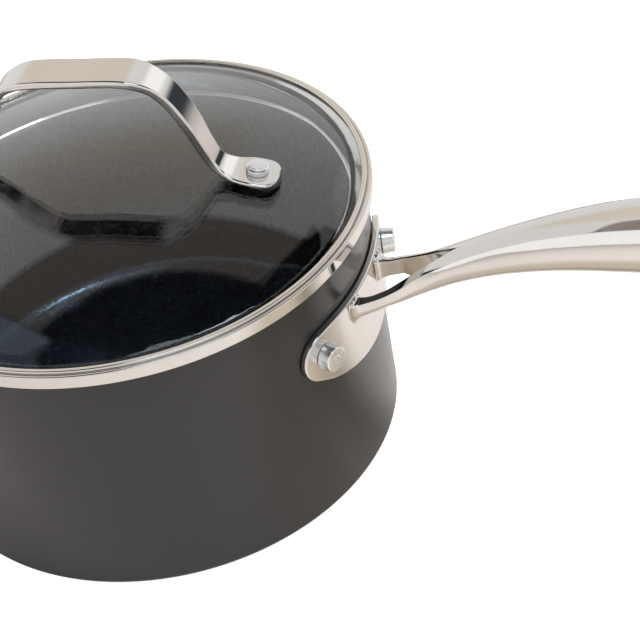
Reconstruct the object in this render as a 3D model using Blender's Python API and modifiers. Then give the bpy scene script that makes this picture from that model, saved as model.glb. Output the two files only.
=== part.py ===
"""Saucepan with a glass lid.

An 18 cm saucepan: one anodised bowl, one cast long handle held by two rivets, and a domed
glass lid with a steel rim and a bent strap handle. Lengths below are in millimetres and are
scaled to metres when a mesh is made. The origin is the centre of the pan's base, +Z is up,
and the long handle points along +X.
"""

import math

import bmesh
import bpy
from mathutils import Matrix, Vector

MM = 0.001
GAP = 0.3                    # between pieces that touch on the real object
STEPS = 60                   # facets round the pan and the lid
COLLECTION = "saucepan"

# Pan
PAN_RADIUS = 92.66
PAN_HEIGHT = 98.5
WALL = 2.7
BASE = 4.0
BASE_CORNER = 2.2

# Lid: heights are measured from the lower edge of the rim's band
BAND_Z = PAN_HEIGHT + GAP
BAND_RADIUS = 96.0
BAND_HEIGHT = 5.05
SKIRT_RADIUS = PAN_RADIUS - WALL - 0.36
SKIRT_DROP = 10.0
GLASS_THICKNESS = 4.0
GLASS_EDGE_Z = 5.2
DOME_RADIUS = 92.2
DOME_RISE = 15.7
LID_TURN = 7.45              # degrees from the long handle to the lid's handle

# Lid handle
FOOT_THICKNESS = 2.0
FOOT_X = 57.2                # rivet's distance from the lid's axis
PAD_THICKNESS = 1.0
WASHER_THICKNESS = 1.2
LID_SHANK_RADIUS = 2.2

# Long handle
PLATE_RADIUS = 95.4          # outer face of the plate on the pan's wall
PAN_RIVET_ANGLE = 19.9
PAN_RIVET_Z = BAND_Z - 28.8
PAN_SHANK_RADIUS = 2.6
HANDLE_END = 300.0
HANG_HOLE_X = 284.0


def clear_scene():
    for old in list(bpy.data.objects):
        bpy.data.objects.remove(old, do_unlink=True)


def new_collection(name):
    made = bpy.data.collections.new(name)
    bpy.context.scene.collection.children.link(made)
    return made


def material(name, colour, roughness, metallic, alpha=1.0):
    made = bpy.data.materials.new(name)
    made.use_nodes = True
    shader = made.node_tree.nodes["Principled BSDF"]
    shader.inputs["Base Color"].default_value = (*colour, 1.0)
    shader.inputs["Roughness"].default_value = roughness
    shader.inputs["Metallic"].default_value = metallic
    shader.inputs["Alpha"].default_value = alpha
    return made


def shade(mesh, degrees=35.0):
    mesh.shade_smooth()
    mesh.set_sharp_from_angle(angle=math.radians(degrees))


def add_object(name, mesh, look, where):
    made = bpy.data.objects.new(name, mesh)
    where.objects.link(made)
    if look is not None:
        mesh.materials.append(look)
    return made


def make_cutter(cutter):
    cutter.hide_render = True
    cutter.display_type = "WIRE"
    return cutter


def turned(name, profile, look, where, steps=STEPS, closed=False):
    """Turn a profile of (radius, height) points, in millimetres, about the object's Z axis."""
    mesh = bpy.data.meshes.new(name)
    points = [(radius * MM, 0.0, height * MM) for radius, height in profile]
    edges = [(i, i + 1) for i in range(len(points) - 1)]
    if closed:
        edges.append((len(points) - 1, 0))
    mesh.from_pydata(points, edges, [])
    made = add_object(name, mesh, look, where)
    screw = made.modifiers.new("turn", "SCREW")
    screw.axis = "Z"
    screw.angle = 2.0 * math.pi
    screw.steps = steps
    screw.render_steps = steps
    screw.use_merge_vertices = True
    screw.merge_threshold = 0.00001
    screw.use_smooth_shade = True
    return made


def loft(name, rings, look, where, caps=(True, True)):
    """Join closed rings of equally many points, in millimetres, into one skin."""
    mesh = bpy.data.meshes.new(name)
    count = len(rings[0])
    points = [Vector(point) * MM for ring in rings for point in ring]
    faces = []
    for row in range(len(rings) - 1):
        for i in range(count):
            j = (i + 1) % count
            low = row * count
            faces.append((low + i, low + j, low + count + j, low + count + i))
    if caps[0]:
        faces.append(tuple(range(count - 1, -1, -1)))
    if caps[1]:
        last = (len(rings) - 1) * count
        faces.append(tuple(range(last, last + count)))
    mesh.from_pydata(points, [], faces)
    if all(caps):
        work = bmesh.new()
        work.from_mesh(mesh)
        bmesh.ops.recalc_face_normals(work, faces=work.faces)
        work.to_mesh(mesh)
        work.free()
    shade(mesh)
    return add_object(name, mesh, look, where)


def prism(name, outline, thickness, look, where):
    """A flat outline in the object's XY plane, thickened both ways, as a welded mesh."""
    curve = bpy.data.curves.new(name + "_outline", "CURVE")
    curve.dimensions = "2D"
    curve.fill_mode = "BOTH"
    curve.extrude = 0.5 * thickness * MM
    spline = curve.splines.new("POLY")
    spline.points.add(len(outline) - 1)
    for point, (x, y) in zip(spline.points, outline):
        point.co = (x * MM, y * MM, 0.0, 1.0)
    spline.use_cyclic_u = True
    holder = bpy.data.objects.new(name + "_curve", curve)
    where.objects.link(holder)
    bpy.context.view_layer.update()
    graph = bpy.context.evaluated_depsgraph_get()
    mesh = bpy.data.meshes.new_from_object(holder.evaluated_get(graph))
    work = bmesh.new()
    work.from_mesh(mesh)
    bmesh.ops.remove_doubles(work, verts=work.verts, dist=0.00001)
    bmesh.ops.recalc_face_normals(work, faces=work.faces)
    work.to_mesh(mesh)
    work.free()
    mesh.name = name
    shade(mesh)
    made = add_object(name, mesh, look, where)
    made.matrix_world = holder.matrix_world.copy()
    bpy.data.objects.remove(holder, do_unlink=True)
    return made


def rod(name, radius, length, where, sides=16):
    """A plain round cutter along the object's Z axis, centred on its origin."""
    mesh = bpy.data.meshes.new(name)
    work = bmesh.new()
    bmesh.ops.create_cone(work, cap_ends=True, segments=sides, radius1=radius * MM,
                          radius2=radius * MM, depth=length * MM)
    work.to_mesh(mesh)
    work.free()
    return make_cutter(add_object(name, mesh, None, where))


def boolean(target, tool, operation):
    step = target.modifiers.new(tool.name, "BOOLEAN")
    step.operation = operation
    step.solver = "EXACT"
    step.object = tool


def arc(centre, radius, start, end, count):
    """Points along a circle, from one angle to another in degrees."""
    points = []
    for i in range(count):
        angle = math.radians(start + (end - start) * i / (count - 1))
        points.append((centre[0] + radius * math.cos(angle), centre[1] + radius * math.sin(angle)))
    return points


def smooth_path(stations, pieces):
    """A Catmull-Rom curve through stations of equally many numbers."""
    first = [2.0 * a - b for a, b in zip(stations[0], stations[1])]
    last = [2.0 * a - b for a, b in zip(stations[-1], stations[-2])]
    knots = [first, *stations, last]
    path = []
    for i in range(1, len(knots) - 2):
        for step in range(pieces):
            t = step / pieces
            path.append([
                0.5 * (2.0 * b + (c - a) * t + (2.0 * a - 5.0 * b + 4.0 * c - d) * t * t
                       + (3.0 * b - 3.0 * c + d - a) * t ** 3)
                for a, b, c, d in zip(*knots[i - 1:i + 3])
            ])
    path.append(list(stations[-1]))
    return path


def dome_height(radius, offset=0.0):
    """Height of the glass's top surface, or of a surface that lies offset below it."""
    sphere = (DOME_RADIUS ** 2 + DOME_RISE ** 2) / (2.0 * DOME_RISE)
    centre = GLASS_EDGE_Z + DOME_RISE - sphere
    return centre + math.sqrt((sphere - offset) ** 2 - radius ** 2)


def dome_slope(radius):
    """Angle of the glass's surface, in radians, at a distance from the axis."""
    sphere = (DOME_RADIUS ** 2 + DOME_RISE ** 2) / (2.0 * DOME_RISE)
    return math.asin(radius / sphere)


# ---------------------------------------------------------------- pan


def make_pan_body(look, where, cutters):
    inner = PAN_RADIUS - WALL
    inner_corner = 7.0
    profile = [(0.0, BASE)]
    profile += arc((inner - inner_corner, BASE + inner_corner), inner_corner, -90.0, 0.0, 6)
    profile += [(inner, PAN_HEIGHT - 0.7), (inner + 0.6, PAN_HEIGHT)]
    profile += [(PAN_RADIUS - 0.6, PAN_HEIGHT), (PAN_RADIUS, PAN_HEIGHT - 0.7)]
    profile += arc((PAN_RADIUS - BASE_CORNER, BASE_CORNER), BASE_CORNER, 0.0, -90.0, 5)
    profile += [(0.0, 0.0)]
    pan = turned("pan_body", profile, look, where)
    for side, angle in pan_rivet_angles():
        hole = rod("pan_hole_" + side, PAN_SHANK_RADIUS + GAP, 20.0, cutters)
        hole.matrix_world = pan_rivet_frame(angle)
        boolean(pan, hole, "DIFFERENCE")
    return pan


def pan_rivet_angles():
    return (("near", -PAN_RIVET_ANGLE), ("far", PAN_RIVET_ANGLE))


def pan_rivet_frame(angle):
    """A frame on the plate's outer face whose Z axis points out of the pan."""
    turn = math.radians(angle)
    spot = Matrix.Translation((PLATE_RADIUS * MM * math.cos(turn),
                               PLATE_RADIUS * MM * math.sin(turn), PAN_RIVET_Z * MM))
    return spot @ Matrix.Rotation(turn, 4, "Z") @ Matrix.Rotation(math.radians(90.0), 4, "Y")


def make_pan_rivet(side, angle, look, where):
    head_radius = 5.0
    head_height = 4.7
    tail_radius = 5.2
    tail = -(PLATE_RADIUS - PAN_RADIUS + WALL) - GAP
    profile = [(0.0, head_height + 0.25), (0.66 * head_radius, head_height),
               (0.88 * head_radius, head_height - 0.7), (head_radius, 0.45 * head_height),
               (head_radius, GAP), (PAN_SHANK_RADIUS, GAP), (PAN_SHANK_RADIUS, tail),
               (tail_radius, tail), (0.85 * tail_radius, tail - 1.1), (0.0, tail - 1.5)]
    rivet = turned("pan_rivet_" + side, profile, look, where, steps=20)
    rivet.matrix_world = pan_rivet_frame(angle)
    return rivet


# ---------------------------------------------------------------- long handle


def plate_outline():
    """The D-shaped plate seen from the front: straight top edge, round ends, bowed lower edge."""
    end_y = 32.3
    end_radius = 9.9
    end_drop = 0.5
    top = BAND_Z - 18.3
    bow_radius = 72.0
    bow_y = 32.4
    centre = (0.0, BAND_Z - 48.2 + bow_radius)
    reach = math.degrees(math.asin(bow_y / bow_radius))
    lower = arc(centre, bow_radius, -90.0 - reach, -90.0 + reach, 13)
    right = arc((end_y, top - end_drop - end_radius), end_radius, -52.0, 80.0, 8)
    left = arc((-end_y, top - end_drop - end_radius), end_radius, 100.0, 232.0, 8)
    return lower + right + [(24.0, top), (-24.0, top)] + left


def make_plate_tool(cutters):
    """The handle's curved plate: a ring about the pan, kept only inside the plate's outline."""
    low = BAND_Z - 60.0
    high = BAND_Z - 5.0
    inner = PAN_RADIUS + GAP
    ring = turned("plate_ring", [(PLATE_RADIUS, high), (PLATE_RADIUS, low), (inner, low), (inner, high)],
                  None, cutters, closed=True)
    outline = prism("plate_outline", plate_outline(), 60.0, None, cutters)
    outline.matrix_world = Matrix.Translation((PLATE_RADIUS * MM, 0.0, 0.0)) @ Matrix(
        ((0.0, 0.0, 1.0, 0.0), (1.0, 0.0, 0.0, 0.0), (0.0, 1.0, 0.0, 0.0), (0.0, 0.0, 0.0, 1.0)))
    boolean(ring, make_cutter(outline), "INTERSECT")
    return make_cutter(ring)


def grip_stations():
    """Along the handle: x, half width of the top face, its edge height above the band's lower
    edge, the top face's crown, how far the sides bulge past the top face, the depth at which
    they are widest, and the underside's height."""
    return [
        (93.6, 15.6, -21.0, 1.0, 0.0, 3.0, -31.8),
        (100.0, 13.2, -19.8, 1.7, 0.0, 3.0, -28.6),
        (106.0, 12.0, -17.4, 2.4, 0.0, 3.0, -25.8),
        (112.0, 10.3, -14.4, 2.7, 0.2, 3.2, -23.6),
        (118.0, 8.1, -10.9, 2.4, 0.5, 3.5, -21.4),
        (130.0, 6.4, -4.0, 1.6, 1.0, 3.6, -16.2),
        (145.0, 6.3, 3.3, 1.4, 1.4, 5.6, -10.8),
        (160.0, 6.9, 9.4, 1.5, 1.9, 6.5, -7.3),
        (175.0, 8.0, 14.4, 1.6, 2.2, 7.3, -5.0),
        (190.0, 8.8, 18.2, 1.7, 2.4, 8.2, -3.7),
        (215.0, 9.4, 22.4, 1.7, 2.5, 8.8, -1.8),
        (240.0, 9.6, 24.3, 1.6, 2.4, 8.0, 1.6),
        (265.0, 9.6, 24.2, 1.4, 2.0, 6.0, 7.0),
        (282.0, 9.4, 23.2, 1.1, 1.5, 4.4, 10.8),
        (292.0, 7.9, 22.4, 0.8, 1.2, 3.8, 12.6),
        (297.6, 5.0, 21.8, 0.5, 0.9, 3.4, 13.8),
        (HANDLE_END, 1.6, 21.2, 0.2, 0.5, 2.8, 15.4),
    ]


def grip_ring(x, half, edge, crown, bulge, waist, under):
    """One section of the handle: a crowned top face and a belly rounded like an ellipse."""
    top_points = 5
    side_points = 3
    belly_points = 8
    wide = half + bulge
    ring = []
    for i in range(top_points):
        y = half * (1.0 - 2.0 * i / (top_points - 1))
        ring.append((x, y, BAND_Z + edge + crown * (1.0 - (y / half) ** 2)))
    for i in range(1, side_points):
        t = i / side_points
        ring.append((x, -half - bulge * math.sin(0.5 * math.pi * t), BAND_Z + edge - waist * t))
    for i in range(belly_points + 1):
        angle = math.pi * i / belly_points
        y = -wide * math.cos(angle)
        ring.append((x, y, BAND_Z + edge - waist - (edge - waist - under) * math.sin(angle)))
    for i in range(side_points - 1, 0, -1):
        t = i / side_points
        ring.append((x, half + bulge * math.sin(0.5 * math.pi * t), BAND_Z + edge - waist * t))
    return ring


def make_fork_tool(cutters):
    """The window between the handle's two arms, which narrows to a pointed groove on top."""
    rings = []
    for height, tip in ((-34.0, 113.5), (4.0, 134.0)):
        side = [(88.0, 10.6), (100.0, 9.9), (106.0, 8.9), (0.5 * (106.0 + tip), 4.9)]
        outline = side + [(tip, 0.0)] + [(x, -y) for x, y in reversed(side)]
        rings.append([(x, y, BAND_Z + height) for x, y in outline])
    return make_cutter(loft("fork_window", rings, None, cutters))


def make_hang_tool(cutters):
    """The rounded slot through the handle's end."""
    half = 3.4
    length = 8.0
    outline = arc((0.5 * length, 0.0), half, -90.0, 90.0, 8) + arc((-0.5 * length, 0.0), half, 90.0, 270.0, 8)
    slot = prism("hang_slot", outline, 60.0, None, cutters)
    slot.location = (HANG_HOLE_X * MM, 0.0, (BAND_Z + 15.0) * MM)
    return make_cutter(slot)


def make_long_handle(look, where, cutters):
    rings = [grip_ring(*station) for station in smooth_path(grip_stations(), 2)]
    handle = loft("long_handle", rings, look, where)
    boolean(handle, make_fork_tool(cutters), "DIFFERENCE")
    boolean(handle, make_plate_tool(cutters), "UNION")
    boolean(handle, make_hang_tool(cutters), "DIFFERENCE")
    for side, angle in pan_rivet_angles():
        hole = rod("plate_hole_" + side, PAN_SHANK_RADIUS + GAP, 12.0, cutters)
        hole.matrix_world = pan_rivet_frame(angle)
        boolean(handle, hole, "DIFFERENCE")
    return handle


# ---------------------------------------------------------------- lid


def make_lid_rim(look, where, lid):
    """The steel ring: a lip over the glass, the outer band, a seat on the pan and a skirt."""
    skirt_inner = SKIRT_RADIUS - 0.7
    profile = [
        (92.3, 5.5), (92.3, 5.75), (92.8, 6.1), (93.8, 6.1), (94.25, 5.7), (94.45, 4.7),
        (94.75, BAND_HEIGHT), (BAND_RADIUS - 0.5, BAND_HEIGHT), (BAND_RADIUS, BAND_HEIGHT - 0.5),
        (BAND_RADIUS, 0.5), (BAND_RADIUS - 0.5, 0.0), (BAND_RADIUS - 1.0, 0.0), (BAND_RADIUS - 1.2, GAP),
        (SKIRT_RADIUS, GAP), (SKIRT_RADIUS, 0.8 - SKIRT_DROP), (SKIRT_RADIUS - 0.5, -SKIRT_DROP),
        (SKIRT_RADIUS - 1.4, -SKIRT_DROP), (SKIRT_RADIUS - 1.7, 0.7 - SKIRT_DROP),
        (skirt_inner, 1.3 - SKIRT_DROP), (skirt_inner, 0.9), (94.1, 0.9), (94.1, 5.5),
    ]
    rim = turned("lid_rim", profile, look, where, closed=True)
    rim.parent = lid
    return rim


def make_lid_glass(look, where, cutters, lid):
    top = [(radius, dome_height(radius)) for radius in (0.0, 12.0, 30.0, 48.0, 64.0, 79.0, DOME_RADIUS)]
    bottom = [(radius, dome_height(radius, GLASS_THICKNESS)) for radius in (87.3, 75.0, 58.0, 38.0, 16.0, 0.0)]
    edge = [(93.5, GLASS_EDGE_Z - 0.1), (93.8, 4.8), (93.8, 1.6), (93.4, 1.2), (89.6, 1.2)]
    profile = top + edge + bottom
    glass = turned("lid_glass", profile, look, where)
    glass.parent = lid
    for side, turn in lid_sides():
        hole = rod("glass_hole_" + side, LID_SHANK_RADIUS + GAP, 24.0, cutters)
        hole.parent = lid
        hole.matrix_local = foot_frame(turn)
        boolean(glass, hole, "DIFFERENCE")
    return glass


def lid_sides():
    return (("right", 0.0), ("left", math.pi))


def foot_frame(turn):
    """A frame on the glass under one foot, X away from the lid's axis and Z out of the glass."""
    spot = Matrix.Translation((FOOT_X * MM, 0.0, dome_height(FOOT_X) * MM))
    return Matrix.Rotation(turn, 4, "Z") @ spot @ Matrix.Rotation(dome_slope(FOOT_X), 4, "Y")


def strap_stations():
    """Half of the strap's outer face: distance from the lid's axis, height, half width and
    the strap's thickness there."""
    bar = 3.0
    leg = 3.5
    stations = [
        (0.0, 61.6, 7.9, bar),
        (14.0, 61.6, 7.9, bar),
        (21.5, 60.7, 7.8, bar),
        (28.4, 57.4, 6.7, 3.2),
        (34.0, 51.2, 6.1, leg),
        (39.2, 40.8, 5.8, leg),
        (42.8, 30.0, 4.9, leg),
        (45.6, 23.6, 4.9, 3.1),
    ]
    stack = 2.0 * GAP + PAD_THICKNESS + FOOT_THICKNESS
    middle = dome_height(FOOT_X) + stack
    slope = math.tan(dome_slope(FOOT_X))
    for x, half in ((50.2, 6.8), (55.7, 8.1), (61.5, 7.9), (64.0, 6.6), (65.4, 4.4), (65.9, 2.0)):
        stations.append((x, middle - slope * (x - FOOT_X), half, FOOT_THICKNESS))
    return stations


def strap_ring(point, normal, half, thickness):
    """A flat section with small chamfers, hanging below the outer face's point."""
    soft = 0.5
    section = [(-half + soft, 0.0), (half - soft, 0.0), (half, -soft), (half, soft - thickness),
               (half - soft, -thickness), (soft - half, -thickness),
               (-half, soft - thickness), (-half, -soft)]
    return [(point.x + normal.x * depth, side, point.y + normal.y * depth) for side, depth in section]


def make_lid_handle(look, where, cutters, lid):
    path = [(Vector((x, z)), half, thickness) for x, z, half, thickness in smooth_path(strap_stations(), 3)]
    rings = []
    for i, (point, half, thickness) in enumerate(path):
        before = path[max(i - 1, 0)][0]
        after = path[min(i + 1, len(path) - 1)][0]
        along = (after - before).normalized()
        normal = Vector((0.0, 1.0)) if i == 0 else Vector((-along.y, along.x))
        rings.append(strap_ring(point, normal, half, thickness))
    strap = loft("lid_handle", rings, look, where, caps=(False, True))
    work = bmesh.new()
    work.from_mesh(strap.data)
    bmesh.ops.reverse_faces(work, faces=work.faces)
    work.to_mesh(strap.data)
    work.free()
    strap.parent = lid
    mirror = strap.modifiers.new("other half", "MIRROR")
    mirror.use_axis[0] = True
    mirror.merge_threshold = 0.00001
    for side, turn in lid_sides():
        hole = rod("foot_hole_" + side, LID_SHANK_RADIUS + GAP, 12.0, cutters)
        hole.parent = lid
        hole.matrix_local = foot_frame(turn)
        boolean(strap, hole, "DIFFERENCE")
    return strap


def make_pad(side, turn, look, where, cutters, lid):
    """The dark pad between a foot of the lid's handle and the glass."""
    outline = arc((1.2, 0.0), 7.6, -70.0, 70.0, 9)
    outline += [(-5.5, 6.0), (-8.6, 5.0), (-8.6, -5.0), (-5.5, -6.0)]
    pad = prism("foot_pad_" + side, outline, PAD_THICKNESS, look, where)
    pad.parent = lid
    pad.matrix_local = foot_frame(turn) @ Matrix.Translation((0.0, 0.0, (GAP + 0.5 * PAD_THICKNESS) * MM))
    hole = rod("pad_hole_" + side, LID_SHANK_RADIUS + GAP, 12.0, cutters)
    hole.parent = lid
    hole.matrix_local = foot_frame(turn)
    boolean(pad, hole, "DIFFERENCE")
    return pad


def make_washer(side, turn, look, where, lid):
    """The washer under the glass, round the rivet."""
    inner = LID_SHANK_RADIUS + GAP
    top = -GLASS_THICKNESS - GAP
    bottom = top - WASHER_THICKNESS
    washer = turned("lid_washer_" + side, [(inner, top), (6.0, top), (6.0, bottom), (inner, bottom)],
                    look, where, steps=20, closed=True)
    washer.parent = lid
    washer.matrix_local = foot_frame(turn)
    return washer


def make_lid_rivet(side, turn, look, where, lid):
    head_radius = 4.2
    foot = 2.0 * GAP + PAD_THICKNESS + FOOT_THICKNESS
    under = foot + GAP
    tail = -GLASS_THICKNESS - WASHER_THICKNESS - 2.0 * GAP
    profile = [(0.0, foot + 2.8), (0.8 * head_radius, foot + 2.7), (head_radius, foot + 2.1),
               (head_radius, under), (LID_SHANK_RADIUS, under), (LID_SHANK_RADIUS, tail),
               (4.0, tail), (3.5, tail - 1.0), (0.0, tail - 1.3)]
    rivet = turned("lid_rivet_" + side, profile, look, where, steps=20)
    rivet.parent = lid
    rivet.matrix_local = foot_frame(turn)
    return rivet


def main():
    clear_scene()
    parts = new_collection(COLLECTION)
    cutters = new_collection(COLLECTION + "_cutters")

    anodised = material("hard anodised aluminium", (0.055, 0.053, 0.054), 0.42, 0.6)
    polished = material("polished stainless steel", (0.62, 0.59, 0.55), 0.12, 1.0)
    rivet_metal = material("brushed aluminium", (0.66, 0.67, 0.68), 0.3, 1.0)
    clear_glass = material("tempered glass", (0.80, 0.84, 0.82), 0.03, 0.0, 0.3)
    dark_silicone = material("dark silicone", (0.015, 0.015, 0.017), 0.6, 0.0)

    make_pan_body(anodised, parts, cutters)
    make_long_handle(polished, parts, cutters)
    for side, angle in pan_rivet_angles():
        make_pan_rivet(side, angle, rivet_metal, parts)

    lid = bpy.data.objects.new("lid_frame", None)
    parts.objects.link(lid)
    lid.location = (0.0, 0.0, BAND_Z * MM)
    lid.rotation_euler = (0.0, 0.0, math.radians(LID_TURN))
    make_lid_rim(polished, parts, lid)
    make_lid_glass(clear_glass, parts, cutters, lid)
    make_lid_handle(polished, parts, cutters, lid)
    for side, turn in lid_sides():
        make_pad(side, turn, dark_silicone, parts, cutters, lid)
        make_washer(side, turn, dark_silicone, parts, lid)
        make_lid_rivet(side, turn, rivet_metal, parts, lid)


main()
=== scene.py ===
"""Looks of the saucepan with a glass lid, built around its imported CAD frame.

Lengths are in millimetres and are scaled to metres when a mesh is made. The origin is the
centre of the pan's base, +Z is up, and the long handle points along +X.
"""

import math

import bmesh
import bpy
from mathutils import Matrix, Vector


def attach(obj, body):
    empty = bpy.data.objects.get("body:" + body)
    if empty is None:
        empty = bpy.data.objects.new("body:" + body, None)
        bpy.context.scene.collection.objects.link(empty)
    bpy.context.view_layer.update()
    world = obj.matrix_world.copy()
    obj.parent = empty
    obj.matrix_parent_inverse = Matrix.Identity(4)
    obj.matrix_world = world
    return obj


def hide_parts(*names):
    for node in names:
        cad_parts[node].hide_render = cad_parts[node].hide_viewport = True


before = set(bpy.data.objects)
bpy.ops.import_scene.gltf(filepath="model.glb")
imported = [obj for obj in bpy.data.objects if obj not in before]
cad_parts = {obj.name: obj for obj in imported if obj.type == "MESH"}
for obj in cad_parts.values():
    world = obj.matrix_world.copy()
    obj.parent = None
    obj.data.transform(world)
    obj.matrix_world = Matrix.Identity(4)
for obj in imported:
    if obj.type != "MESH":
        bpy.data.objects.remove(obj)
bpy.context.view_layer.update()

MM = 0.001
GAP = 0.3
STEPS = 200                  # facets round the pan and the lid

# Pan
PAN_RADIUS = 92.66
PAN_HEIGHT = 98.5
WALL = 2.7
BASE = 4.0
BASE_CORNER = 2.2
INNER_CORNER = 7.0

# Lid: heights are measured from the lower edge of the rim's band
BAND_Z = PAN_HEIGHT + GAP
BAND_RADIUS = 95.97
BAND_HEIGHT = 5.05
SKIRT_RADIUS = PAN_RADIUS - WALL - 0.36
SKIRT_DROP = 10.0
GLASS_THICKNESS = 4.0
GLASS_EDGE_Z = 5.2
DOME_RADIUS = 92.2
DOME_RISE = 15.7
DOME_SPHERE = (DOME_RADIUS ** 2 + DOME_RISE ** 2) / (2.0 * DOME_RISE)
LID_TURN = 7.45              # degrees from the long handle to the lid's handle

# Lid handle
FOOT_THICKNESS = 2.0
FOOT_X = 57.2
PAD_THICKNESS = 1.0
WASHER_THICKNESS = 1.2
LID_SHANK_RADIUS = 2.2

# Long handle
PLATE_RADIUS = 95.4
PAN_RIVET_ANGLE = 19.9
PAN_RIVET_Z = BAND_Z - 28.8
PAN_SHANK_RADIUS = 2.6
HANG_HOLE_X = 284.0
FORK_START_X = 106.0         # from here the window between the arms narrows to its point
FORK_END_X = 190.0           # from here the handle's sections are upright again
# Sections close together where the arms leave the plate, and at the handle's round end
ROOT_STATIONS = [93.6, 94.3, 94.7, 95.0, 95.3, 95.6, 95.9, 96.3, 96.7, 97.2, 98.0, 99.5, 101.0,
                 102.5, 104.2]
END_STATIONS = [288.0, 290.0, 292.0, 293.7, 295.2, 296.5, 297.6, 298.5, 299.2, 299.7]

# Camera
CAMERA_AZIMUTH = -57.35
CAMERA_ELEVATION = 34.50
CAMERA_DISTANCE = 680.0
AIM_SIDE = -5.31
AIM_DOWN = 4.863
CAMERA_ROLL = -14.819
LENS = 103.66

# Floor: just under the pan's base
FLOOR_Z = -0.3
FLOOR_RADIUS = 1100.0


# ---------------------------------------------------------------- mesh helpers


def finish_mesh(name, points, faces, parent=None, matrix=None, weld=0.01):
    """A closed mesh object from points in millimetres, its faces turned outward."""
    mesh = bpy.data.meshes.new(name)
    mesh.from_pydata([Vector(point) * MM for point in points], [], faces)
    work = bmesh.new()
    work.from_mesh(mesh)
    bmesh.ops.remove_doubles(work, verts=work.verts, dist=weld * MM)
    bmesh.ops.recalc_face_normals(work, faces=work.faces)
    work.to_mesh(mesh)
    work.free()
    made = bpy.data.objects.new(name, mesh)
    bpy.context.scene.collection.objects.link(made)
    if parent is not None:
        made.parent = parent
    if matrix is not None:
        made.matrix_local = matrix
    return made


def smooth(piece, degrees=40.0):
    """Smooth shading that keeps flat faces flat beside their rounded edges."""
    piece.data.shade_smooth()
    piece.data.set_sharp_from_angle(angle=math.radians(degrees))
    even = piece.modifiers.new("even normals", "WEIGHTED_NORMAL")
    even.keep_sharp = True
    return piece


def fillet(corners, arc_steps=4):
    """Round the corners of a polyline of (x, y, radius); a radius of None keeps the point."""
    points = []
    for i, (x, y, radius) in enumerate(corners):
        here = Vector((x, y))
        if radius is None:
            points.append((x, y))
            continue
        before = (Vector(corners[i - 1][:2]) - here).normalized()
        after = (Vector(corners[(i + 1) % len(corners)][:2]) - here).normalized()
        half_turn = 0.5 * math.acos(max(-1.0, min(1.0, before.dot(after))))
        reach = radius / math.tan(half_turn)
        centre = here + (before + after).normalized() * radius / math.sin(half_turn)
        first = here + before * reach - centre
        last = here + after * reach - centre
        sweep = math.atan2(first.x * last.y - first.y * last.x, first.dot(last))
        for step in range(arc_steps + 1):
            angle = sweep * step / arc_steps
            points.append((centre.x + first.x * math.cos(angle) - first.y * math.sin(angle),
                           centre.y + first.x * math.sin(angle) + first.y * math.cos(angle)))
    return points


def lathe(name, profile, closed=False, steps=STEPS, parent=None, matrix=None):
    """Turn (radius, height) points about Z; a point on the axis becomes one vertex."""
    points = []
    rows = []
    for radius, height in profile:
        if radius < 0.001:
            rows.append([len(points)] * steps)
            points.append((0.0, 0.0, height))
            continue
        rows.append([len(points) + i for i in range(steps)])
        for i in range(steps):
            angle = 2.0 * math.pi * i / steps
            points.append((radius * math.cos(angle), radius * math.sin(angle), height))
    faces = []
    pairs = list(zip(rows, rows[1:])) + ([(rows[-1], rows[0])] if closed else [])
    for low, high in pairs:
        for i in range(steps):
            j = (i + 1) % steps
            corner = list(dict.fromkeys((low[i], low[j], high[j], high[i])))
            if len(corner) > 2:
                faces.append(corner)
    return finish_mesh(name, points, faces, parent, matrix)


def ring_faces(rows, closed=True):
    """Quads between rows of point numbers."""
    faces = []
    for low, high in zip(rows, rows[1:]):
        count = len(low)
        for i in range(count if closed else count - 1):
            j = (i + 1) % count
            faces.append((low[i], low[j], high[j], high[i]))
    return faces


def smooth_path(stations, pieces):
    """A Catmull-Rom curve through stations of equally many numbers."""
    first = [2.0 * a - b for a, b in zip(stations[0], stations[1])]
    last = [2.0 * a - b for a, b in zip(stations[-1], stations[-2])]
    knots = [first, *stations, last]
    path = []
    for i in range(1, len(knots) - 2):
        for step in range(pieces):
            t = step / pieces
            path.append([
                0.5 * (2.0 * b + (c - a) * t + (2.0 * a - 5.0 * b + 4.0 * c - d) * t * t
                       + (3.0 * b - 3.0 * c + d - a) * t ** 3)
                for a, b, c, d in zip(*knots[i - 1:i + 3])
            ])
    path.append(list(stations[-1]))
    return path


def arc(centre, radius, start, end, count):
    """Points on a circle from one angle to another, in degrees, both ends included."""
    points = []
    for i in range(count):
        angle = math.radians(start + (end - start) * i / (count - 1))
        points.append((centre[0] + radius * math.cos(angle), centre[1] + radius * math.sin(angle)))
    return points


def boolean(target, tool, operation):
    """Apply one boolean and take the tool away."""
    step = target.modifiers.new("cut", "BOOLEAN")
    step.operation = operation
    step.solver = "EXACT"
    step.object = tool
    bpy.context.view_layer.update()
    graph = bpy.context.evaluated_depsgraph_get()
    result = bpy.data.meshes.new_from_object(target.evaluated_get(graph))
    target.modifiers.remove(step)
    result.name = target.name
    target.data = result
    bpy.data.objects.remove(tool, do_unlink=True)


# ---------------------------------------------------------------- material helpers


def new_material(name):
    """A node material, with its tree and its main shader."""
    made = bpy.data.materials.new(name)
    made.use_nodes = True
    return made, made.node_tree, made.node_tree.nodes["Principled BSDF"]


def node(tree, kind, settings=(), **inputs):
    """A node with its settings and the plain values of its inputs."""
    made = tree.nodes.new(kind)
    for key, value in dict(settings).items():
        setattr(made, key, value)
    for key, value in inputs.items():
        made.inputs[key.replace("_", " ")].default_value = value
    return made


def ramp(tree, source, low, high, start=0.0, end=1.0):
    """Map a value to a number between low and high."""
    made = node(tree, "ShaderNodeMapRange", From_Min=start, From_Max=end, To_Min=low, To_Max=high)
    tree.links.new(source, made.inputs["Value"])
    return made.outputs["Result"]


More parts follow.
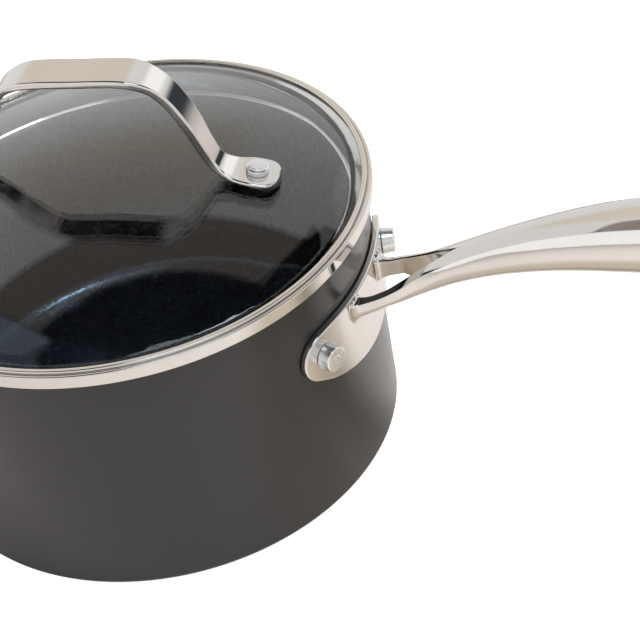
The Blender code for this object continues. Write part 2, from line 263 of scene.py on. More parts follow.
def mix_colours(tree, factor, first, second):
    """Blend two colours; each is plain numbers or another node's output."""
    made = node(tree, "ShaderNodeMix", {"data_type": "RGBA"})
    tree.links.new(factor, made.inputs["Factor"])
    sockets = [socket for socket in made.inputs if socket.type == "RGBA"]
    for socket, colour in zip(sockets, (first, second)):
        if isinstance(colour, bpy.types.NodeSocket):
            tree.links.new(colour, socket)
        else:
            socket.default_value = (*colour, 1.0)
    return [socket for socket in made.outputs if socket.type == "RGBA"][0]


def place(tree, scale):
    """Object coordinates stretched by a scale on each axis."""
    where = node(tree, "ShaderNodeTexCoord")
    mapping = node(tree, "ShaderNodeMapping", Scale=scale)
    tree.links.new(where.outputs["Object"], mapping.inputs["Vector"])
    return mapping.outputs["Vector"]


def noise(tree, vector, scale, detail=3.0, roughness=0.5):
    """A cloudy value at each place."""
    made = node(tree, "ShaderNodeTexNoise", Scale=scale, Detail=detail, Roughness=roughness)
    tree.links.new(vector, made.inputs["Vector"])
    return made.outputs["Fac"]


def bump(tree, shader, height, strength, distance):
    """Raise the surface by a height map; the distance is in millimetres."""
    made = node(tree, "ShaderNodeBump", Strength=strength, Distance=distance * MM)
    tree.links.new(height, made.inputs["Height"])
    tree.links.new(made.outputs["Normal"], shader.inputs["Normal"])


# ---------------------------------------------------------------- materials


def steel_material():
    """Polished stainless steel: a faint grain, and handling marks that vary its gloss."""
    dark = (0.61, 0.585, 0.56)
    light = (0.70, 0.675, 0.65)
    grain = (0.02, 1.0, 1.0)
    made, tree, shader = new_material("polished stainless steel")
    shader.inputs["Metallic"].default_value = 1.0
    marks = noise(tree, place(tree, (1.0, 1.0, 1.0)), 60.0, 4.0, 0.6)
    tree.links.new(mix_colours(tree, marks, dark, light), shader.inputs["Base Color"])
    tree.links.new(ramp(tree, marks, 0.05, 0.10, 0.3, 0.75), shader.inputs["Roughness"])
    lines = noise(tree, place(tree, grain), 900.0, 2.0)
    bump(tree, shader, lines, 0.05, 0.02)
    return made


def anodised_material():
    """Hard-anodised aluminium: dark, satin and very finely grained."""
    made, tree, shader = new_material("hard anodised aluminium")
    vector = place(tree, (1.0, 1.0, 1.0))
    cloud = noise(tree, vector, 18.0, 3.0)
    colour = mix_colours(tree, cloud, (0.009, 0.0087, 0.009), (0.013, 0.0125, 0.013))
    tree.links.new(colour, shader.inputs["Base Color"])
    tree.links.new(ramp(tree, cloud, 0.24, 0.30, 0.3, 0.7), shader.inputs["Roughness"])
    grain = noise(tree, vector, 2600.0, 2.0)
    bump(tree, shader, grain, 0.12, 0.03)
    shader.inputs["Specular IOR Level"].default_value = 0.36
    shader.inputs["Coat Weight"].default_value = 0.3
    shader.inputs["Coat Roughness"].default_value = 0.15
    return made


def nonstick_material():
    """The inside coating: near-black navy with fine bluish flakes."""
    made, tree, shader = new_material("dark nonstick coating")
    vector = place(tree, (1.0, 1.0, 1.0))
    flakes = node(tree, "ShaderNodeTexVoronoi", {"feature": "F1"}, Scale=1400.0)
    tree.links.new(vector, flakes.inputs["Vector"])
    sparse = ramp(tree, flakes.outputs["Distance"], 1.0, 0.0, 0.05, 0.35)
    colour = mix_colours(tree, sparse, (0.002, 0.0028, 0.004), (0.02, 0.032, 0.05))
    tree.links.new(colour, shader.inputs["Base Color"])
    tree.links.new(ramp(tree, noise(tree, vector, 300.0), 0.22, 0.30, 0.3, 0.7), shader.inputs["Roughness"])
    shader.inputs["Specular Tint"].default_value = (0.45, 0.72, 1.0, 1.0)
    bump(tree, shader, noise(tree, vector, 1500.0, 2.0), 0.25, 0.05)
    return made


def rivet_material():
    """Bright aluminium with the faint rings that its tool leaves."""
    made, tree, shader = new_material("bright aluminium")
    shader.inputs["Metallic"].default_value = 1.0
    vector = place(tree, (1.0, 1.0, 1.0))
    marks = noise(tree, vector, 420.0, 4.0, 0.65)
    colour = mix_colours(tree, marks, (0.68, 0.69, 0.70), (0.84, 0.85, 0.86))
    tree.links.new(colour, shader.inputs["Base Color"])
    tree.links.new(ramp(tree, marks, 0.22, 0.36, 0.3, 0.7), shader.inputs["Roughness"])
    rings = node(tree, "ShaderNodeTexWave", {"wave_type": "RINGS", "rings_direction": "Z"},
                 Scale=350.0, Distortion=1.2)
    tree.links.new(vector, rings.inputs["Vector"])
    bump(tree, shader, rings.outputs["Fac"], 0.15, 0.06)
    return made


def glass_material():
    """Clear tempered glass with the faint green of its thickness and a trace of wear."""
    made, tree, shader = new_material("tempered glass")
    shader.inputs["Base Color"].default_value = (1.0, 1.0, 1.0, 1.0)
    shader.inputs["Transmission Weight"].default_value = 1.0
    shader.inputs["IOR"].default_value = 1.5
    haze = noise(tree, place(tree, (1.0, 1.0, 1.0)), 40.0, 3.0)
    tree.links.new(ramp(tree, haze, 0.0, 0.003, 0.5, 0.8), shader.inputs["Roughness"])
    inside = node(tree, "ShaderNodeVolumeAbsorption", Color=(0.55, 0.76, 0.69, 1.0), Density=9.0)
    tree.links.new(inside.outputs["Volume"], tree.nodes["Material Output"].inputs["Volume"])
    return made


def silicone_material():
    """The dark soft pads and washers: matt, with a fine uneven surface."""
    made, tree, shader = new_material("dark silicone")
    vector = place(tree, (1.0, 1.0, 1.0))
    cloud = noise(tree, vector, 200.0)
    colour = mix_colours(tree, cloud, (0.010, 0.010, 0.011), (0.018, 0.018, 0.019))
    tree.links.new(colour, shader.inputs["Base Color"])
    tree.links.new(ramp(tree, cloud, 0.45, 0.6), shader.inputs["Roughness"])
    bump(tree, shader, noise(tree, vector, 2200.0), 0.2, 0.04)
    return made


# ---------------------------------------------------------------- pan


def make_pan(outside, inside):
    """The pan as one turned skin, with the coating on the faces that the inside shows."""
    inner = PAN_RADIUS - WALL
    floor = [(radius, BASE) for radius in (0.0, 15.0, 30.0, 45.0, 60.0, 72.0)]
    corner = fillet([(72.0, BASE, None), (inner, BASE, INNER_CORNER), (inner, 30.0, None)],
                    arc_steps=12)[1:]
    inner_wall = [(inner, 55.0), (inner, 80.0)]
    lip = fillet([(inner, 80.0, None), (inner, PAN_HEIGHT, 0.8), (PAN_RADIUS, PAN_HEIGHT, 0.9),
                  (PAN_RADIUS, 80.0, None)], arc_steps=5)[1:]
    foot = fillet([(PAN_RADIUS, 50.0, None), (PAN_RADIUS, 0.0, BASE_CORNER), (84.0, 0.0, None)],
                  arc_steps=8)
    under = [(70.0, 0.0), (50.0, 0.0), (25.0, 0.0), (0.0, 0.0)]
    pan = lathe("pan_shell", floor + corner + inner_wall + lip + foot + under)
    pan.data.materials.append(outside)
    pan.data.materials.append(inside)
    for face in pan.data.polygons:
        spot = face.center
        if math.hypot(spot.x, spot.y) < (inner + 0.3) * MM and spot.z > 0.5 * BASE * MM:
            face.material_index = 1
    return smooth(pan)


def pan_rivet_frame(angle):
    """A frame on the plate's outer face whose Z axis points out of the pan."""
    turn = math.radians(angle)
    spot = Matrix.Translation((PLATE_RADIUS * MM * math.cos(turn),
                               PLATE_RADIUS * MM * math.sin(turn), PAN_RIVET_Z * MM))
    return spot @ Matrix.Rotation(turn, 4, "Z") @ Matrix.Rotation(math.radians(90.0), 4, "Y")


def make_pan_rivet(side, angle, look):
    """A round head on the plate, its shank, and the head inside the pan."""
    tail = -(PLATE_RADIUS - PAN_RADIUS + WALL)
    profile = fillet([
        (0.0, 4.93, None), (1.5, 4.93, 0.3), (1.9, 4.82, 0.3), (4.65, 4.7, 0.6),
        (5.0, 0.05, 0.2), (PAN_SHANK_RADIUS, 0.05, None),
        (PAN_SHANK_RADIUS, tail - 0.05, None), (5.2, tail - 0.05, 0.2),
        (4.6, tail - 1.2, 0.8), (2.4, tail - 1.75, 1.0), (0.0, tail - 1.8, None),
    ])
    rivet = lathe("pan_rivet_head_" + side, profile, steps=64, matrix=pan_rivet_frame(angle))
    rivet.data.materials.append(look)
    return smooth(rivet)


# ---------------------------------------------------------------- long handle


def plate_outline():
    """The D-shaped plate seen from the front: straight top edge, round ends, bowed lower edge."""
    end_y = 32.3
    end_radius = 9.9
    end_drop = 0.5
    top = BAND_Z - 18.3
    bow_radius = 72.0
    bow_y = 32.4
    centre = (0.0, BAND_Z - 48.2 + bow_radius)
    reach = math.degrees(math.asin(bow_y / bow_radius))
    lower = arc(centre, bow_radius, -90.0 - reach, -90.0 + reach, 41)
    right = arc((end_y, top - end_drop - end_radius), end_radius, -62.0, 84.0, 30)
    left = [(-y, z) for y, z in reversed(right)]
    top_edge = [(24.0 - 2.0 * i, top) for i in range(25)]
    return lower[1:-1] + right + top_edge + left


def inset_outline(outline, distance):
    """Move every point of a closed, anticlockwise outline inward."""
    moved = []
    for i, (y, z) in enumerate(outline):
        before = Vector(outline[i - 1])
        after = Vector(outline[(i + 1) % len(outline)])
        along = (after - before).normalized()
        moved.append((y - along.y * distance, z + along.x * distance))
    return moved


def make_plate():
    """The curved plate, its edges rounded, as one closed skin."""
    outline = plate_outline()
    inner = PAN_RADIUS + GAP
    soft = 0.75
    middle_z = PAN_RIVET_Z - 1.0
    layers = [(fraction, 1.0, inner) for fraction in (0.0, 0.3, 0.6, 0.85)]
    for degrees in range(0, 91, 18):
        angle = math.radians(degrees)
        layers.append((1.0, 0.4 * (1.0 - math.sin(angle)), inner + 0.4 * (1.0 - math.cos(angle))))
    for degrees in range(0, 91, 15):
        angle = math.radians(degrees)
        layers.append((1.0, soft * (1.0 - math.cos(angle)),
                       PLATE_RADIUS - soft * (1.0 - math.sin(angle))))
    layers += [(fraction, 1.0, PLATE_RADIUS) for fraction in (0.93, 0.8, 0.6, 0.3, 0.0)]
    points = []
    rows = []
    for fraction, inset, radius in layers:
        row = []
        for y, z in inset_outline(outline, inset):
            mid_y = max(-27.0, min(27.0, y))
            y = mid_y + (y - mid_y) * fraction
            z = middle_z + (z - middle_z) * fraction
            angle = math.asin(y / PLATE_RADIUS)
            row.append(len(points))
            points.append((radius * math.cos(angle), radius * math.sin(angle), z))
        rows.append(row)
    return finish_mesh("handle_plate", points, ring_faces(rows), weld=0.02)


def grip_stations():
    """Along the handle: x, half width of the top face, its edge height above the band's lower
    edge, the top face's crown, how far the sides bulge past the top face, the depth at which
    they are widest, and the underside's height."""
    return [
        (93.6, 15.6, -21.0, 1.0, 0.0, 3.0, -31.8),
        (100.0, 13.2, -19.8, 1.7, 0.0, 3.0, -28.6),
        (106.0, 12.0, -17.4, 2.4, 0.0, 3.0, -25.8),
        (112.0, 10.3, -14.4, 2.7, 0.2, 3.2, -23.6),
        (118.0, 8.1, -10.9, 2.4, 0.5, 3.5, -21.4),
        (130.0, 6.4, -4.0, 1.6, 1.0, 3.6, -16.2),
        (145.0, 6.3, 3.3, 1.4, 1.4, 5.6, -10.8),
        (160.0, 6.9, 9.4, 1.5, 1.9, 6.5, -7.3),
        (175.0, 8.0, 14.4, 1.6, 2.2, 7.3, -5.0),
        (190.0, 8.8, 18.2, 1.7, 2.4, 8.2, -3.7),
        (215.0, 9.4, 22.4, 1.7, 2.5, 8.8, -1.8),
        (240.0, 9.6, 24.3, 1.6, 2.4, 8.0, 1.6),
        (265.0, 9.6, 24.2, 1.4, 2.0, 6.0, 7.0),
        (282.0, 9.4, 23.2, 1.1, 1.5, 4.4, 10.8),
        (292.0, 7.9, 22.4, 0.8, 1.2, 3.8, 12.6),
        (297.6, 5.0, 21.8, 0.5, 0.9, 3.4, 13.8),
        (299.7, 1.9, 21.3, 0.2, 0.6, 2.9, 15.2),
    ]


GRIP_PATH = smooth_path(grip_stations(), 16)


def grip_at(x):
    """The handle's section sizes at a distance along it."""
    for before, after in zip(GRIP_PATH, GRIP_PATH[1:]):
        if x <= after[0]:
            t = (x - before[0]) / (after[0] - before[0])
            return [a + (b - a) * t for a, b in zip(before[1:], after[1:])]
    return GRIP_PATH[-1][1:]


def window_tip(z):
    """Where the window between the arms comes to its point, at a height above the band's edge."""
    return 113.5 + (z + 34.0) * 20.5 / 38.0


def window_half(x):
    """Half width of the window before it narrows."""
    return 9.9 + (100.0 - x) * (0.7 / 12.0 if x < 100.0 else 1.0 / 6.0)


def half_section(x, window, forked):
    """Half of the handle's section as (y, z) points: the top face outward, the side, the belly
    inward and, where the handle is forked, the arm's inner wall upward."""
    half, edge, crown, bulge, waist, under = grip_at(x)
    top_points = 8
    side_points = 4
    belly_points = 12
    wall_points = 5
    ridge = 0.5
    corner = 0.55
    inner = None
    if forked:
        inner = max(0.002, corner * min(1.0, window / 2.0))
    wide = half + bulge
    section = []
    for i in range(top_points + 1):
        y = window + (half - window) * i / top_points
        radius = inner if i == 0 else ridge if i == top_points else None
        section.append((y, edge + crown * (1.0 - (y / half) ** 2), radius))
    for i in range(1, side_points):
        t = i / side_points
        section.append((half + bulge * math.sin(0.5 * math.pi * t), edge - waist * t, None))
    last = math.acos(min(1.0, window / wide))
    for i in range(belly_points + 1):
        angle = last * i / belly_points
        z = edge - waist - (edge - waist - under) * math.sin(angle)
        section.append((wide * math.cos(angle), z, inner if i == belly_points else None))
    if forked:
        low = section[-1][1]
        high = section[0][1]
        for i in range(1, wall_points):
            section.append((window, low + (high - low) * i / wall_points, None))
    return fillet(section)


def flared(points, x):
    """Swell an arm's section where it runs into the plate, like a round weld."""
    radius = 2.4
    grown = []
    for i, (y, z) in enumerate(points):
        away = x - math.sqrt(PLATE_RADIUS ** 2 - y ** 2)
        reach = max(0.0, min(1.0, 1.0 - away / radius))
        swell = radius * (1.0 - math.sqrt(1.0 - min(0.9, reach ** 2)))
        before = Vector(points[i - 1])
        after = Vector(points[(i + 1) % len(points)])
        along = (after - before).normalized()
        grown.append((y - along.y * swell, z + along.x * swell))
    return grown


def slanted_ring(place_x, window, forked):
    """A section whose points' x depends on their height, found point by point."""
    count = len(half_section(FORK_START_X, window, forked))
    ring = []
    for column in range(count):
        z = 0.0
        x = place_x(-12.0)
        for _ in range(5):
            y, z = half_section(x, window, forked)[column]
            x = place_x(z)
        ring.append((x, y, z))
    return ring


def handle_rings():
    """Rings of the handle's +Y half, and whether each one is in the fork."""
    rings = []
    for x in ROOT_STATIONS:
        section = flared(half_section(x, window_half(x), True), x)
        rings.append(([(x, y, z) for y, z in section], True))
    narrowing = 22
    for i in range(narrowing + 1):
        t = i / narrowing
        window = 8.9 * (1.0 - t) * (1.0 + 0.2 * t)
        ring = slanted_ring(lambda z: FORK_START_X + t * (window_tip(z) - FORK_START_X), window, True)
        rings.append((ring, True))
    widening = 30
    for i in range(1, widening + 1):
        t = i / widening
        ring = slanted_ring(lambda z: window_tip(z) + t * (FORK_END_X - window_tip(z)), 0.0, False)
        rings.append((ring, False))
    for x in [FORK_END_X + 3.0 * i for i in range(1, 33)] + END_STATIONS:
        rings.append(([(x, y, z) for y, z in half_section(x, 0.0, False)], False))
    return rings


def make_grip():
    """Both halves of the handle, from the arms' roots to its end, as one closed skin."""
    points = []
    faces = []
    arc_steps = 4
    for sign in (1.0, -1.0):
        outer_rows = []
        wall_rows = []
        for ring, forked in handle_rings():
            numbers = list(range(len(points), len(points) + len(ring)))
            points += [(x, sign * y, BAND_Z + z) for x, y, z in ring]
            if forked:
                outer = len(numbers) - 2 * arc_steps - 4
                outer_rows.append(numbers[arc_steps:arc_steps + outer])
                wall_rows.append(numbers[arc_steps + outer - 1:] + numbers[:arc_steps + 1])
            else:
                outer_rows.append(numbers)
        faces += ring_faces(outer_rows, closed=False) + ring_faces(wall_rows, closed=False)
        faces.append(outer_rows[0] + wall_rows[0][1:-1])
        faces.append(outer_rows[-1])
    return finish_mesh("long_handle_steel", points, faces, weld=0.004)


def make_hang_slot():
    """A cutter for the slot that the pan hangs by."""
    half = 3.4
    length = 8.0
    outline = arc((0.5 * length, 0.0), half, -90.0, 90.0, 24)
    outline += arc((-0.5 * length, 0.0), half, 90.0, 270.0, 24)
    rows = []
    points = []
    for z in (-30.0, 30.0):
        rows.append(list(range(len(points), len(points) + len(outline))))
        points += [(HANG_HOLE_X + x, y, BAND_Z + 15.0 + z) for x, y in outline]
    return finish_mesh("hang_slot", points, ring_faces(rows) + [rows[0], rows[1]])


def make_long_handle(look):
    """The grip and its arms joined to the plate, with the slot cut through the end."""
    handle = make_grip()
    boolean(handle, make_plate(), "UNION")
    boolean(handle, make_hang_slot(), "DIFFERENCE")
    handle.data.materials.clear()
    handle.data.materials.append(look)
    return smooth(handle)


# ---------------------------------------------------------------- lid


def dome_height(radius, offset=0.0):
    """Height of the glass above the band's edge, or of a surface an offset below it."""
    centre = GLASS_EDGE_Z + DOME_RISE - DOME_SPHERE
    return centre + math.sqrt((DOME_SPHERE - offset) ** 2 - radius ** 2)


def make_lid_rim(look, lid):
    """The steel ring: a bead over the glass, the outer band, a seat on the pan and a skirt."""
    skirt_inner = SKIRT_RADIUS - 0.7
    profile = fillet([
        (92.3, 5.45, 0.1), (92.3, 6.1, 0.45), (94.2, 6.1, 0.55), (94.38, 4.5, 0.08), (94.5, 4.5, 0.05),
        (94.72, BAND_HEIGHT, 0.25), (BAND_RADIUS, BAND_HEIGHT, 0.5), (BAND_RADIUS, 0.0, 0.5),
        (95.1, 0.0, 0.2), (94.8, GAP, 0.1), (SKIRT_RADIUS, GAP, 0.4),
        (SKIRT_RADIUS, -SKIRT_DROP, 0.7), (SKIRT_RADIUS - 1.7, -SKIRT_DROP, 0.7),
        (SKIRT_RADIUS - 1.7, 1.5 - SKIRT_DROP, 0.5), (skirt_inner, 1.7 - SKIRT_DROP, 0.3),
        (skirt_inner, 0.9, 0.1), (94.1, 0.9, 0.1), (94.1, 5.45, 0.1),
    ])
    rim = lathe("lid_rim_steel", profile, closed=True, matrix=lid)
    rim.data.materials.append(look)
    return smooth(rim)


def make_lid_glass(look, lid):
    """The glass dome with its thickness, its edge inside the rim."""
    radii = [0.0, 4.0] + [8.0 * i for i in range(1, 12)]
    top = [(radius, dome_height(radius)) for radius in radii]
    edge = fillet([(DOME_RADIUS, dome_height(DOME_RADIUS), None), (93.8, dome_height(93.0), 0.5),
                   (93.8, 1.2, 0.5), (88.6, 1.2, None)])
    bottom = [(radius, dome_height(radius, GLASS_THICKNESS))
              for radius in (87.3, *reversed(radii[:-1]))]
    glass = lathe("lid_glass_dome", top + edge + bottom, matrix=lid)
    glass.data.materials.append(look)
    return smooth(glass)


def foot_frame(turn):
    """A frame on the glass under one foot, X away from the lid's axis and Z out of the glass."""
    spot = Matrix.Translation((FOOT_X * MM, 0.0, dome_height(FOOT_X) * MM))
    slope = math.asin(FOOT_X / DOME_SPHERE)
    return Matrix.Rotation(turn, 4, "Z") @ spot @ Matrix.Rotation(slope, 4, "Y")


def lid_sides():
    """Each foot of the lid's handle and how far round the lid it stands."""
    return (("right", 0.0), ("left", math.pi))


def strap_stations():
    """Half of the strap's outer face: distance from the lid's axis, height, half width and
    the strap's thickness there."""
    bar = 3.0
    leg = 3.5
    stations = [
        (0.0, 61.6, 7.9, bar),
        (14.0, 61.6, 7.9, bar),
        (21.5, 60.7, 7.8, bar),
        (28.4, 57.4, 6.7, 3.2),
        (34.0, 51.2, 6.1, leg),
        (39.2, 40.8, 5.8, leg),
        (42.8, 30.0, 4.9, leg),
        (45.6, 23.6, 4.9, 3.1),
    ]
    middle = dome_height(FOOT_X) + 2.0 * GAP + PAD_THICKNESS + FOOT_THICKNESS
    slope = math.tan(math.asin(FOOT_X / DOME_SPHERE))
    for x, half in ((50.2, 6.8), (55.7, 8.1), (61.5, 7.9), (64.0, 6.6), (65.4, 4.4), (65.9, 2.0),
                    (65.95, 0.5)):
        stations.append((x, middle - slope * (x - FOOT_X), half, FOOT_THICKNESS))
    return stations


def strap_section(half, thickness):
    """The strap's rounded section: (across, depth below the outer face)."""
    soft = min(0.8, 0.45 * thickness, 0.8 * half)
    corners = [(-half, 0.0, soft), (half, 0.0, soft), (half, -thickness, soft),
               (-half, -thickness, soft)]
    return fillet(corners)


def make_strap(look, lid):
    """The lid's handle: one bent strip whose halves mirror each other about the lid's axis."""
    path = [(Vector((x, z)), half, thickness)
            for x, z, half, thickness in smooth_path(strap_stations(), 8)]
    points = []
    rows = {1.0: [], -1.0: []}
    for i, (point, half, thickness) in enumerate(path):
        before = path[max(i - 1, 0)][0]
        after = path[min(i + 1, len(path) - 1)][0]
        along = (after - before).normalized()
        normal = Vector((0.0, 1.0)) if i == 0 else Vector((-along.y, along.x))
        for sign in (1.0, -1.0):
            section = strap_section(half, thickness)
            rows[sign].append(list(range(len(points), len(points) + len(section))))
            points += [(sign * (point.x + normal.x * depth), side, point.y + normal.y * depth)
                       for side, depth in section]
    order = list(reversed(rows[-1.0])) + rows[1.0]
    faces = ring_faces(order) + [order[0], order[-1]]
    strap = finish_mesh("strap_handle", points, faces, parent=lid)
    strap.data.materials.append(look)
    return smooth(strap)


def make_lid_rivet(side, turn, look, lid):
    """A button head on the foot, its shank through the glass, and the head below."""
    foot = 2.0 * GAP + PAD_THICKNESS + FOOT_THICKNESS
    tail = -GLASS_THICKNESS - WASHER_THICKNESS - 2.0 * GAP
    profile = fillet([
        (0.0, foot + 2.78, None), (2.9, foot + 2.74, 0.35), (3.3, foot + 2.2, 0.2),
        (4.2, foot + 2.0, 0.4), (4.2, foot + 0.02, 0.2), (LID_SHANK_RADIUS, foot + 0.02, None),
        (LID_SHANK_RADIUS, tail + 0.28, None),
        (4.0, tail + 0.28, 0.1), (3.5, tail - 1.0, 0.4), (0.0, tail - 1.28, None),
    ])
    rivet = lathe("lid_rivet_head_" + side, profile, steps=48, parent=lid, matrix=foot_frame(turn))
    rivet.data.materials.append(look)
    return smooth(rivet)


def make_pad(side, turn, look, lid):
    """The dark pad between a foot of the lid's handle and the glass."""
    outline = arc((1.2, 0.0), 7.6, -70.0, 70.0, 24)
    outline += fillet([(-5.5, 6.0, 2.0), (-8.6, 5.0, 1.0), (-8.6, -5.0, 1.0), (-5.5, -6.0, 2.0)])
    bottom = 0.05
    top = GAP + PAD_THICKNESS + GAP - 0.05
    points = []
    rows = []
    for inset, height in ((0.3, bottom), (0.08, bottom + 0.1), (0.0, bottom + 0.3), (0.0, top - 0.3),
                          (0.08, top - 0.1), (0.3, top)):
        rows.append(list(range(len(points), len(points) + len(outline))))
        points += [(x, y, height) for x, y in inset_outline(outline, inset)]
    faces = ring_faces(rows) + [rows[0], rows[-1]]
    pad = finish_mesh("foot_pad_soft_" + side, points, faces, parent=lid, matrix=foot_frame(turn))
    pad.data.materials.append(look)
    return smooth(pad)


def make_washer(side, turn, look, lid):
    """The soft washer under the glass."""
    inner = LID_SHANK_RADIUS + 0.05
    top = -GLASS_THICKNESS - 0.1
    bottom = top - WASHER_THICKNESS - 0.2
    profile = fillet([(inner, top, None), (6.0, top, 0.3), (6.0, bottom, 0.4), (inner, bottom, None)])
    washer = lathe("lid_washer_soft_" + side, profile, closed=True, steps=48, parent=lid,
                   matrix=foot_frame(turn))
    washer.data.materials.append(look)
    return smooth(washer)


# ---------------------------------------------------------------- stage


def for_camera(tree, output, others, seen_by_camera):
    """Show camera rays one shader and all other rays another."""
    rays = node(tree, "ShaderNodeLightPath")
    choice = node(tree, "ShaderNodeMixShader")
    tree.links.new(rays.outputs["Is Camera Ray"], choice.inputs["Fac"])
    tree.links.new(others, choice.inputs[1])
    tree.links.new(seen_by_camera, choice.inputs[2])
    tree.links.new(choice.outputs["Shader"], output.inputs["Surface"])


def make_floor():
    """A pale table top, which reads as plain white from the camera, with a painted shadow of the long
    handle: a darker tan oval under it.
    """
    made, tree, shader = new_material("pale floor")
    stretch = (0.6, 1.6, 1.0)
    # Painted shadow: the floor turns a darker tan in an oval under the long handle.
    away = node(tree, "ShaderNodeVectorMath", {"operation": "DISTANCE"})
    tree.links.new(place(tree, stretch), away.inputs[0])
    away.inputs[1].default_value = (0.22 * stretch[0], -0.03 * stretch[1], 0.0)
    far = ramp(tree, away.outputs["Value"], 0.0, 1.0, 0.05, 0.12)
    # The first colour is the painted shadow, the second the floor's own tone.
    colour = mix_colours(tree, far, (0.37, 0.32, 0.255), (0.54, 0.50, 0.47))
    tree.links.new(colour, shader.inputs["Base Color"])
    shader.inputs["Roughness"].default_value = 0.9
    shader.inputs["Specular IOR Level"].default_value = 0.0
    white = node(tree, "ShaderNodeEmission", Color=(1.0, 1.0, 1.0, 1.0), Strength=0.9)
    bright = node(tree, "ShaderNodeAddShader")
    tree.links.new(shader.outputs["BSDF"], bright.inputs[0])
    tree.links.new(white.outputs["Emission"], bright.inputs[1])
    for_camera(tree, tree.nodes["Material Output"], shader.outputs["BSDF"], bright.outputs["Shader"])
    floor = lathe("floor", [(0.0, FLOOR_Z), (FLOOR_RADIUS, FLOOR_Z)], steps=96)
    floor.data.materials.append(made)


def maths(tree, operation, first, *others):
    """One math node; sockets are linked and numbers are set."""
    made = node(tree, "ShaderNodeMath", {"operation": operation})
    for socket, value in zip(made.inputs, (first, *others)):
        if isinstance(value, bpy.types.NodeSocket):
            tree.links.new(value, socket)
        else:
            socket.default_value = value
    return made.outputs["Value"]


def wrapped_distance(tree, angle, centre):
    """How far an azimuth is from a centre, in degrees, either way round."""
    shifted = maths(tree, "SUBTRACT", angle, centre)
    return maths(tree, "ABSOLUTE", maths(tree, "WRAP", shifted, 180.0, -180.0))


def soft_edge(tree, value, limit, softness):
    """One below a limit and zero above it, with a soft change between."""
    made = node(tree, "ShaderNodeMapRange", {"interpolation_type": "SMOOTHSTEP"},
                From_Min=limit - softness, From_Max=limit + softness, To_Min=1.0, To_Max=0.0)
    tree.links.new(value, made.inputs["Value"])
    return made.outputs["Result"]


# Studio panels and gaps: each has a name, its azimuth and how far it reaches either way, its
# elevation and how far it reaches up and down, the softness of its edge (all in degrees), and
# its brightness
WALLS = (0.95, 0.95, 0.95)
STUDIO = (
    ("warm wall", (120.0, 16.0), (34.0, 12.0), 6.0, (0.88, 0.81, 0.72)),
    ("lit curtain", (72.0, 11.0), (27.0, 9.0), 4.0, (1.35, 1.37, 1.38)),
    ("ceiling", (0.0, 200.0), (71.5, 22.0), 0.6, (0.02, 0.02, 0.022)),
    ("warm panel", (119.0, 35.0), (55.5, 6.0), 0.6, (0.36, 0.31, 0.28)),
    ("cool panel", (170.0, 15.5), (58.0, 6.5), 1.0, (0.45, 0.52, 0.65)),
    ("dark corner", (30.0, 54.0), (48.0, 3.0), 0.6, (0.02, 0.02, 0.022)),
    ("skylight", (-32.0, 48.0), (76.0, 13.0), 2.5, (2.7, 3.0, 3.2)),
    ("gap behind", (58.0, 11.0), (1.5, 9.0), 4.0, (0.05, 0.058, 0.068)),
    ("bright wall", (-122.0, 28.0), (-2.0, 13.0), 6.0, (1.3, 1.3, 1.3)),
)


def make_world():
    """A white room with a dark ceiling and a few plain panels; the camera itself sees white."""
    world = bpy.data.worlds.new("studio")
    bpy.context.scene.world = world
    world.use_nodes = True
    tree = world.node_tree
    where = node(tree, "ShaderNodeTexCoord")
    split = node(tree, "ShaderNodeSeparateXYZ")
    tree.links.new(where.outputs["Generated"], split.inputs["Vector"])
    elevation = maths(tree, "DEGREES", maths(tree, "ARCSINE", split.outputs["Z"]))
    azimuth = maths(tree, "DEGREES", maths(tree, "ARCTAN2", split.outputs["Y"], split.outputs["X"]))
    colour = WALLS
    for _, across, up, softness, brightness in STUDIO:
        beside = soft_edge(tree, wrapped_distance(tree, azimuth, across[0]), across[1], softness)
        above = maths(tree, "ABSOLUTE", maths(tree, "SUBTRACT", elevation, up[0]))
        mask = maths(tree, "MULTIPLY", beside, soft_edge(tree, above, up[1], softness))
        colour = mix_colours(tree, mask, colour, brightness)
    background = tree.nodes["Background"]
    tree.links.new(colour, background.inputs["Color"])
    plain = node(tree, "ShaderNodeBackground", Color=(1.0, 1.0, 1.0, 1.0))
    for_camera(tree, tree.nodes["World Output"], background.outputs["Background"],
               plain.outputs["Background"])


def toward(azimuth, elevation):
    """A unit vector toward an azimuth and elevation in degrees."""
    azimuth = math.radians(azimuth)
    elevation = math.radians(elevation)
    return Vector((math.cos(elevation) * math.cos(azimuth), math.cos(elevation) * math.sin(azimuth),
                   math.sin(elevation)))


def add_light(name, direction, distance, size, power, colour=(1.0, 1.0, 1.0), through_glass=False):
    """A soft box that faces the pan from an azimuth and elevation in degrees and isn't seen in
    reflections; it can also shine through the glass."""
    offset = toward(*direction)
    lamp = bpy.data.lights.new(name, "AREA")
    lamp.shape = "RECTANGLE"
    lamp.size, lamp.size_y = (length * MM for length in size)
    lamp.energy = power
    lamp.color = colour
    holder = bpy.data.objects.new(name, lamp)
    bpy.context.scene.collection.objects.link(holder)
    holder.location = offset * distance * MM
    holder.rotation_euler = offset.to_track_quat("Z", "Y").to_euler()
    holder.visible_glossy = False
    holder.visible_transmission = through_glass


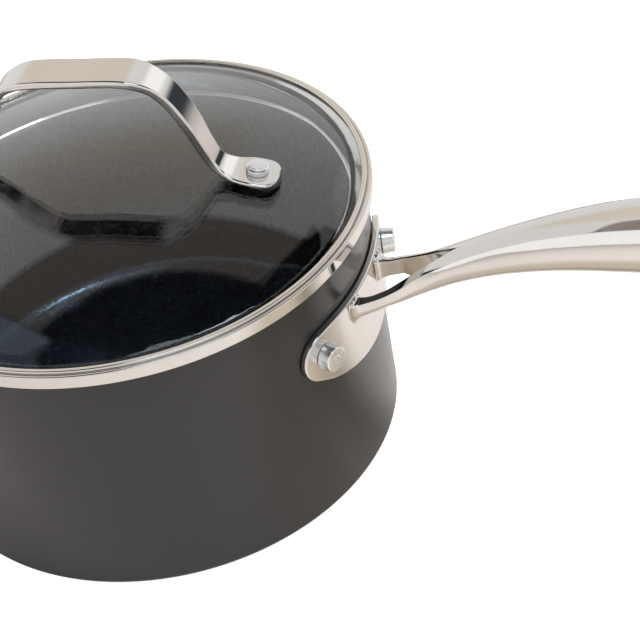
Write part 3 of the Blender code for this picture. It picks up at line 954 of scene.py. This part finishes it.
def make_camera():
    """The camera at the photograph's angle, aimed to the side and down, and rolled."""
    offset = toward(CAMERA_AZIMUTH, CAMERA_ELEVATION)
    right = (-offset).cross(Vector((0.0, 0.0, 1.0))).normalized()
    down = (-offset).cross(right)
    look = Matrix((right, down, -offset))
    aim = (Matrix.Rotation(math.radians(CAMERA_ROLL), 3, "Z")
           @ Matrix.Rotation(math.radians(AIM_DOWN), 3, "X")
           @ Matrix.Rotation(math.radians(AIM_SIDE), 3, "Y") @ look)
    axes = Matrix((aim[0], -aim[1], -aim[2])).transposed()
    camera = bpy.data.cameras.new("camera")
    camera.sensor_width = 36.0
    camera.lens = LENS
    camera.clip_start = 0.01
    holder = bpy.data.objects.new("camera", camera)
    bpy.context.scene.collection.objects.link(holder)
    spot = Vector((0.0, 0.0, BAND_Z * MM)) + offset * CAMERA_DISTANCE * MM
    holder.matrix_world = Matrix.Translation(spot) @ axes.to_4x4()
    bpy.context.scene.camera = holder


# ---------------------------------------------------------------- assembly


def stand_for(piece, body, slot, *nodes):
    """Tell the frame which body a piece moves with and which nodes it shows. The slot argument is not used.
    """
    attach(piece, body)
    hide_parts(*nodes)


def build_pan(steel, rivet_metal):
    stand_for(make_pan(anodised_material(), nonstick_material()), "pan", "anodised", "pan_body")
    stand_for(make_long_handle(steel), "pan", "polished_steel", "long_handle")
    for side, angle in (("near", -PAN_RIVET_ANGLE), ("far", PAN_RIVET_ANGLE)):
        stand_for(make_pan_rivet(side, angle, rivet_metal), "pan", "rivet", "pan_rivet_" + side)


def build_lid(steel, rivet_metal):
    lid = bpy.data.objects.new("lid_frame", None)
    bpy.context.scene.collection.objects.link(lid)
    lid.location = (0.0, 0.0, BAND_Z * MM)
    lid.rotation_euler = (0.0, 0.0, math.radians(LID_TURN))
    dark = silicone_material()
    raised = Matrix.Translation((0.0, 0.0, BAND_Z * MM))
    stand_for(make_lid_rim(steel, raised), "lid", "polished_steel", "lid_rim")
    stand_for(make_lid_glass(glass_material(), raised), "lid", "glass", "lid_glass")
    stand_for(make_strap(steel, lid), "lid", "polished_steel", "lid_handle")
    for side, turn in lid_sides():
        stand_for(make_pad(side, turn, dark, lid), "lid", "silicone", "foot_pad_" + side)
        stand_for(make_washer(side, turn, dark, lid), "lid", "silicone", "lid_washer_" + side)
        stand_for(make_lid_rivet(side, turn, rivet_metal, lid), "lid", "rivet", "lid_rivet_" + side)
    bpy.data.objects.remove(lid, do_unlink=True)


def main():
    bpy.context.scene.view_settings.view_transform = "Standard"
    steel = steel_material()
    rivet_metal = rivet_material()
    build_pan(steel, rivet_metal)
    build_lid(steel, rivet_metal)
    make_floor()
    make_world()
    add_light("overhead", (0.0, 90.0), 1500.0, (1800.0, 1800.0), 18.0)
    add_light("inside glow", (-5.0, 66.0), 700.0, (160.0, 160.0), 5.0, (0.94, 0.97, 1.0),
              through_glass=True)
    make_camera()


main()
